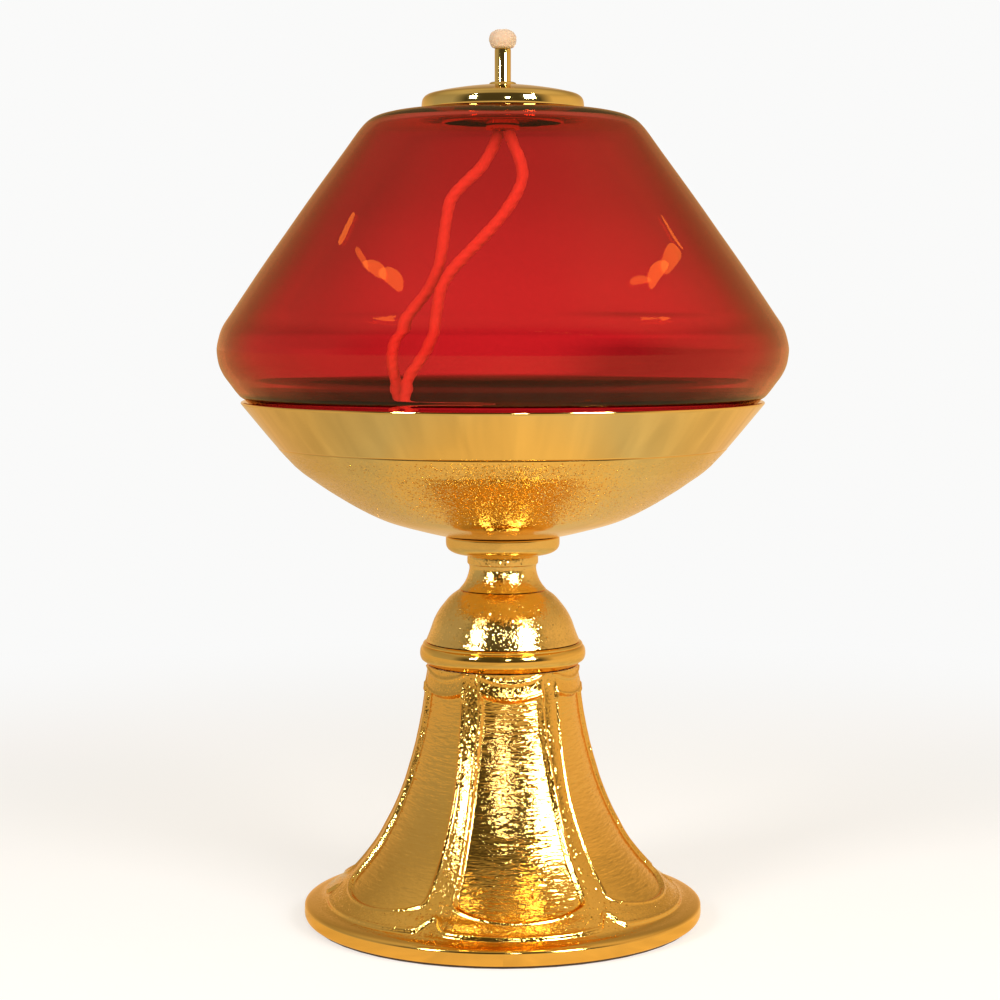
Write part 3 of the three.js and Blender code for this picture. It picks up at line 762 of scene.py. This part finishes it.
def make_tip():
    """The wick's cut end: a round, frayed knob."""
    prof = spline([(0.0, 331.15), (3.3, 331.2), (4.7, 332.0), (5.35, 333.7), (5.25, 335.5), (4.3, 337.2), (2.4, 338.2), (0.0, 338.45)], 0.2)
    o = lathe("wick_tip_fine", prof, 144, 0)
    rng = np.random.default_rng(7)
    k = rng.normal(size=(60, 3))
    ph = rng.uniform(0, 6.28, 60)
    co = np.array([v.co for v in o.data.vertices])
    c = np.array([0, 0, 0.3349])
    d = co - c
    r = np.linalg.norm(d, axis=1)
    n = d / r[:, None]
    h = np.zeros(len(co))
    for q, (kk, p) in enumerate(zip(k, ph)):
        f = 3 + 4 * abs(kk[0]) if q < 26 else 9 + 9 * abs(kk[0])
        h += np.sin(n @ kk * f + p) / f ** (1.0 if q < 26 else 0.75)
    h = h / np.abs(h).max()
    low = np.clip((co[:, 2] - 0.3314) / 0.0008, 0, 1)
    co = c + n * (r * (1 - 0.11 * low * (0.5 + 0.5 * h)))[:, None]
    o.data.vertices.foreach_set("co", co.astype(np.float32).ravel())
    o.data.update()
    return o


piece(make_tip(), WICK, "wick", "wick_fibre", "wick_tip")

# ------------------------------------------------------------------ carried-over pieces
for n, mt in (("felt_pad", FELT), ("foot_base_plate", STEEL), ("tie_rod", STEEL), ("foot_washer", STEEL), ("foot_nut", STEEL),
              ("bowl_washer", STEEL), ("bowl_nut", STEEL), ("tube_nut", POLISHED), ("wick_core", WICK)):
    paint(nodes[n], mt)

# ------------------------------------------------------------------ stage
me = bpy.data.meshes.new("floor")
S = 14.0
me.from_pydata([(-S, -S, -0.0001), (S, -S, -0.0001), (S, S, -0.0001), (-S, S, -0.0001)], [], [(0, 1, 2, 3)])
floor = bpy.data.objects.new("floor", me)
scene.collection.objects.link(floor)
PALE = (0.955, 0.955, 0.95)


def floor_material():
    """A plain pale floor that fades into the backdrop; dimmer and warmer where metal mirrors it, with painted shadow
    and light there, and painted light and shade where it is seen through the glass.
    """
    m = Mat("pale_floor")
    v = m.coords()
    sep, rad = radius(m, v)
    d = m.add("ShaderNodeBsdfDiffuse")
    d.inputs["Color"].default_value = (0.40, 0.40, 0.40, 1)
    e = m.add("ShaderNodeEmission")
    e.inputs["Color"].default_value = (*PALE, 1)
    e.inputs["Strength"].default_value = 0.56
    both = m.add("ShaderNodeAddShader")
    m.link(d.outputs[0], both.inputs[0])
    m.link(e.outputs[0], both.inputs[1])
    far = m.add("ShaderNodeEmission")
    far.inputs["Color"].default_value = (*PALE, 1)
    fade = m.add("ShaderNodeMapRange", interpolation_type="SMOOTHSTEP")
    fade.inputs["From Min"].default_value = 0.16
    fade.inputs["From Max"].default_value = 0.75
    m.link(rad, fade.inputs["Value"])
    near = m.add("ShaderNodeMixShader")
    m.link(fade.outputs["Result"], near.inputs[0])
    m.link(both.outputs[0], near.inputs[1])
    m.link(far.outputs[0], near.inputs[2])
    # mirrored floor: soft folds of light
    ang = m.add("ShaderNodeMath", operation="ARCTAN2")
    m.link(sep.outputs[0], ang.inputs[0])
    m.link(sep.outputs[1], ang.inputs[1])
    cv = m.add("ShaderNodeCombineXYZ")
    m.link(m.math("MULTIPLY", ang.outputs[0], 1.6), cv.inputs[0])
    m.link(m.math("MULTIPLY", rad, 5.0), cv.inputs[1])
    fold = m.noise(cv.outputs[0], 2.2, 2, 0.5, 0.8)
    amount = m.math("ADD", m.math("MULTIPLY", fold, 0.55), 0.72)
    # painted shade: the mirrored floor is darker to the left, below x = -0.16 m
    lit = m.add("ShaderNodeMapRange", interpolation_type="SMOOTHSTEP")
    for k, val in (("From Min", -0.16), ("From Max", 0.05), ("To Min", 0.80), ("To Max", 1.0)):
        lit.inputs[k].default_value = val
    m.link(sep.outputs[0], lit.inputs["Value"])
    amount = m.math("MULTIPLY", amount, lit.outputs["Result"])
    # painted shadow and light by distance from the axis: dark under the foot, brightest just round it
    painted_floor_light = m.ramp(m.math("MULTIPLY", rad, 1.25), [(0.0, (0.30, 0.27, 0.21)), (0.093, (0.98, 0.72, 0.36)), (0.15, (0.94, 0.72, 0.40)), (0.20, (0.76, 0.70, 0.57)),
                                                 (0.33, (0.80, 0.66, 0.44)), (0.75, (0.92, 0.70, 0.42)), (1.0, (0.92, 0.70, 0.42))])
    warm = m.add("ShaderNodeEmission")
    m.link(painted_floor_light, warm.inputs["Color"])
    m.link(amount, warm.inputs["Strength"])
    lp = m.add("ShaderNodeLightPath")
    mix = m.add("ShaderNodeMixShader")
    m.link(m.math("MAXIMUM", lp.outputs["Is Glossy Ray"], lp.outputs["Is Reflection Ray"])
           if "Is Reflection Ray" in lp.outputs else lp.outputs["Is Glossy Ray"], mix.inputs[0])
    m.link(near.outputs[0], mix.inputs[1])
    m.link(warm.outputs[0], mix.inputs[2])
    glow = m.add("ShaderNodeEmission")
    glow.inputs["Color"].default_value = (1, 1, 1, 1)
    bearing = m.math("ADD", m.math("MULTIPLY", m.math("DIVIDE", sep.outputs[0], m.math("MAXIMUM", sep.outputs[1], 0.3)), 2.5), 0.5, True)
    # painted light and shade on the floor seen through the glass: brighter and darker by bearing
    painted_light_by_bearing = m.ramp(bearing, [(q, (g / 2, g / 2, g / 2)) for q, g in (
        (0.0, 1.12), (0.187, 1.12), (0.268, 1.29), (0.33, 1.29), (0.425, 1.56), (0.5, 1.62), (0.562, 1.55), (0.648, 0.90),
        (0.71, 0.82), (0.812, 0.96), (0.9, 1.12))])
    # the painted light and shade lies far behind the lamp; nearer, and in front, the floor is even
    far = m.add("ShaderNodeMapRange", interpolation_type="SMOOTHSTEP")
    for k, v in (("From Min", 0.4), ("From Max", 2.2), ("To Min", 0.0), ("To Max", 1.0)):
        far.inputs[k].default_value = v
    m.link(sep.outputs[1], far.inputs["Value"])
    painted_light_and_shade = m.math("MULTIPLY", m.math("SUBTRACT", m.math("MULTIPLY", painted_light_by_bearing, 2.0), 1.12), far.outputs["Result"])
    m.link(m.math("ADD", painted_light_and_shade, 1.12), glow.inputs["Strength"])
    through = m.add("ShaderNodeMixShader")
    m.link(lp.outputs["Is Transmission Ray"], through.inputs[0])
    m.link(mix.outputs[0], through.inputs[1])
    m.link(glow.outputs[0], through.inputs[2])
    m.link(through.outputs[0], m.out.inputs["Surface"])
    return m.m


paint(floor, floor_material())

SOFT = [floor, left, right] + [bpy.data.objects[n] for n in ("wick_tip_fine", "seat_ring_fine", "neck_gasket_fine")]
SOFT += [nodes[n] for n in ("felt_pad", "wick_core")]
metal = bpy.data.collections.new("metal_only")
for o in SOFT + [globe]:
    metal.objects.link(o)
for c in metal.collection_objects:
    c.light_linking.link_state = "EXCLUDE"
soft = bpy.data.collections.new("soft_only")
for o in SOFT:
    soft.objects.link(o)


def lamp(name, place, aim, size, energy, color, along=None, shape="RECTANGLE"):
    d = bpy.data.lights.new(name, "AREA")
    d.shape = shape
    d.size, d.size_y = size
    d.energy = energy
    d.color = color
    o = bpy.data.objects.new(name, d)
    scene.collection.objects.link(o)
    p, t = Vector(place), Vector(aim)
    z = (p - t).normalized()
    x = Vector(along) if along is not None else Vector((0, 0, 1)).cross(z)
    x = (x - z * x.dot(z)).normalized()
    y = z.cross(x)
    o.matrix_world = Matrix(((x.x, y.x, z.x, p.x), (x.y, y.y, z.y, p.y), (x.z, y.z, z.z, p.z), (0, 0, 0, 1)))
    return o


def area(name, az, el, dist, size, energy, fill=0, color=(0.84, 0.94, 1.0), aim=(0, 0, 0.15)):
    """A softbox that lights the metal, and a twin of its own strength for the floor and the wick."""
    a, e = math.radians(az), math.radians(el)
    p = Vector(aim) + Vector((math.sin(a) * math.cos(e), -math.cos(a) * math.cos(e), math.sin(e))) * dist
    lamp(name, p, aim, size, energy, color).light_linking.receiver_collection = metal
    if fill:
        lamp(name + "_fill", p, aim, (size[0] * 2, size[1] * 2), fill, (1, 0.97, 0.94)).light_linking.receiver_collection = soft


area("soft_left", -43, 23, 1.8, (0.28, 0.36), 24, 24)
area("soft_right", 39, 24, 1.8, (0.46, 0.46), 60, 30)
area("soft_front", 7, 19, 1.9, (0.17, 0.16), 3.9, 12)
area("small_left", -44, 44, 2.0, (0.10, 0.10), 1.6)
area("small_right", 50, 43, 2.0, (0.10, 0.10), 1.9)
on_glass = bpy.data.collections.new("glass_only")
on_glass.objects.link(globe)
WARM = (1.0, 0.31, 0.055)
for nm, p0, p1, wid, en in (("strip_left_a", (-1.369, 0.274, 1.75), (-1.264, 0.019, 1.75), 0.020, 0.09),
                            ("strip_left_b", (-1.274, 0.039, 1.75), (-1.093, -0.207, 1.75), 0.034, 0.23),
                            ("strip_left_c", (-1.113, -0.184, 1.75), (-0.921, -0.382, 1.75), 0.031, 0.19),
                            ("spot_left", (-1.570, 0.745, 1.75), (-1.536, 0.650, 1.75), 0.026, 0.05),
                            ("strip_right_a", (1.670, 0.825, 1.75), (1.523, 0.380, 1.75), 0.055, 0.38),
                            ("strip_right_b", (1.534, 0.409, 1.75), (1.364, 0.062, 1.75), 0.036, 0.28),
                            ("strip_right_c", (1.342, 0.031, 1.75), (1.183, -0.152, 1.75), 0.015, 0.06),
                            ("spot_right", (1.665, 0.967, 1.75), (1.722, 1.043, 1.75), 0.022, 0.035),
                            ("tube_front", (0.228, -1.292, 1.73), (0.986, -1.308, 1.367), 0.010, 0.10)):
    a, b = Vector(p0), Vector(p1)
    lamp(nm, (a + b) / 2, (0, 0, 0.25), ((b - a).length * 1.25, wid * 1.25), en * 1.45, WARM if nm != "tube_front" else (1.0, 0.62, 0.25),
         along=b - a, shape="ELLIPSE").light_linking.receiver_collection = on_glass

world = bpy.data.worlds.new("studio")
scene.world = world
world.use_nodes = True
wt = world.node_tree
wt.nodes.clear()
wm = Mat.__new__(Mat)
wm.t = wt
wout = wm.add("ShaderNodeOutputWorld")
tc = wm.add("ShaderNodeTexCoord")
sep = wm.add("ShaderNodeSeparateXYZ")
wm.link(tc.outputs["Generated"], sep.inputs[0])
elev = wm.math("ADD", wm.math("MULTIPLY", sep.outputs[2], 0.5), 0.5)
left_side = wm.ramp(elev, [(0.0, (0.52, 0.47, 0.37)), (0.5, (0.48, 0.44, 0.35)), (0.62, (0.46, 0.41, 0.32)), (0.76, (0.43, 0.37, 0.265)),
                           (0.93, (0.62, 0.53, 0.37)), (1.0, (0.46, 0.40, 0.29))])
right_side = wm.ramp(elev, [(0.0, (0.82, 0.62, 0.36)), (0.5, (0.84, 0.63, 0.37)), (0.62, (0.87, 0.63, 0.34)), (0.76, (0.63, 0.47, 0.26)),
                            (0.93, (0.80, 0.62, 0.38)), (1.0, (0.50, 0.41, 0.28))])
lr = wm.ramp(wm.math("ADD", wm.math("MULTIPLY", sep.outputs[0], 0.5), 0.5), [(0.2, (0, 0, 0)), (0.8, (1, 1, 1))])
sides = wm.mix(lr, left_side, right_side)
back = wm.ramp(elev, [(0.0, (0.90, 0.66, 0.42)), (0.5, (0.92, 0.68, 0.44)), (0.60, (0.64, 0.48, 0.29)), (0.75, (0.34, 0.27, 0.165)),
                      (0.93, (0.52, 0.42, 0.27)), (1.0, (0.62, 0.52, 0.36))])
bk = wm.ramp(sep.outputs[1], [(0.0, (0, 0, 0)), (0.35, (0, 0, 0)), (0.9, (1, 1, 1))])
around = wm.mix(bk, sides, back)
front = wm.ramp(elev, [(0.0, (0.75, 0.58, 0.36)), (0.47, (0.62, 0.46, 0.27)), (0.505, (0.16, 0.13, 0.085)), (0.55, (0.07, 0.06, 0.035)),
                       (0.86, (0.085, 0.07, 0.04)), (0.95, (0.26, 0.22, 0.14)), (1.0, (0.44, 0.38, 0.27))])
fwd = wm.ramp(wm.math("MULTIPLY", sep.outputs[1], -1.0), [(0.0, (0, 0, 0)), (0.24, (0, 0, 0)), (0.58, (1, 1, 1))])
env = wm.mix(fwd, around, front)
bg_env = wm.add("ShaderNodeBackground")
wm.link(env, bg_env.inputs["Color"])
bg_env.inputs["Strength"].default_value = 1.0
bg_cam = wm.add("ShaderNodeBackground")
bg_cam.inputs["Color"].default_value = (*PALE, 1)
# a broad soft spot of painted light on the backdrop, seen only through the glass
spot_dir = (Vector((0.019, -0.097, 0.237)) - cam.location).normalized()
dotn = wm.add("ShaderNodeVectorMath", operation="DOT_PRODUCT")
wm.link(tc.outputs["Generated"], dotn.inputs[0])
dotn.inputs[1].default_value = tuple(spot_dir)
painted_light_spot = wm.add("ShaderNodeMapRange", interpolation_type="SMOOTHSTEP")
for k, v in (("From Min", 0.9925), ("From Max", 0.99985), ("To Min", 1.12), ("To Max", 1.66)):
    painted_light_spot.inputs[k].default_value = v
wm.link(dotn.outputs["Value"], painted_light_spot.inputs["Value"])
up_fade = wm.add("ShaderNodeMapRange", interpolation_type="SMOOTHSTEP")
for k, v in (("From Min", -0.004), ("From Max", 0.062), ("To Min", 1.0), ("To Max", 0.66)):
    up_fade.inputs[k].default_value = v
wm.link(sep.outputs[2], up_fade.inputs["Value"])
gain = wm.math("MULTIPLY", painted_light_spot.outputs["Result"], up_fade.outputs["Result"])
# painted shade: the backdrop's low, darker patch to the right, seen through the glass
bearing = wm.math("ADD", wm.math("MULTIPLY", wm.math("DIVIDE", sep.outputs[0], wm.math("MAXIMUM", sep.outputs[1], 0.3)), 2.5), 0.5, True)
shade_patch = wm.ramp(bearing, [(q, (g, g, g)) for q, g in ((0.0, 1.0), (0.268, 0.97), (0.33, 0.84), (0.42, 0.95), (0.5, 1.0), (0.562, 0.96),
                                                      (0.648, 0.56), (0.71, 0.57), (0.85, 1.0))])
lowness = wm.add("ShaderNodeMapRange", interpolation_type="SMOOTHSTEP")
for k, v in (("From Min", 0.004), ("From Max", -0.017), ("To Min", 0.0), ("To Max", 1.0)):
    lowness.inputs[k].default_value = v
wm.link(sep.outputs[2], lowness.inputs["Value"])
behind = wm.add("ShaderNodeMapRange", interpolation_type="SMOOTHSTEP")
for k, v in (("From Min", 0.3), ("From Max", 0.6), ("To Min", 0.0), ("To Max", 1.0)):
    behind.inputs[k].default_value = v
wm.link(sep.outputs[1], behind.inputs["Value"])
shade_drop = wm.math("MULTIPLY", wm.math("SUBTRACT", 1.0, shade_patch), wm.math("MULTIPLY", lowness.outputs["Result"], behind.outputs["Result"]))
gain = wm.math("MULTIPLY", gain, wm.math("SUBTRACT", 1.0, shade_drop))
bg_glass = wm.add("ShaderNodeBackground")
bg_glass.inputs["Color"].default_value = (1.0, 1.0, 1.0, 1)
wm.link(gain, bg_glass.inputs["Strength"])
lp = wm.add("ShaderNodeLightPath")
mixw = wm.add("ShaderNodeMixShader")
wm.link(lp.outputs["Is Camera Ray"], mixw.inputs[0])
wm.link(bg_env.outputs[0], mixw.inputs[1])
wm.link(bg_cam.outputs[0], mixw.inputs[2])
mixg = wm.add("ShaderNodeMixShader")
wm.link(lp.outputs["Is Transmission Ray"], mixg.inputs[0])
wm.link(mixw.outputs[0], mixg.inputs[1])
wm.link(bg_glass.outputs[0], mixg.inputs[2])
wm.link(mixg.outputs[0], wout.inputs["Surface"])
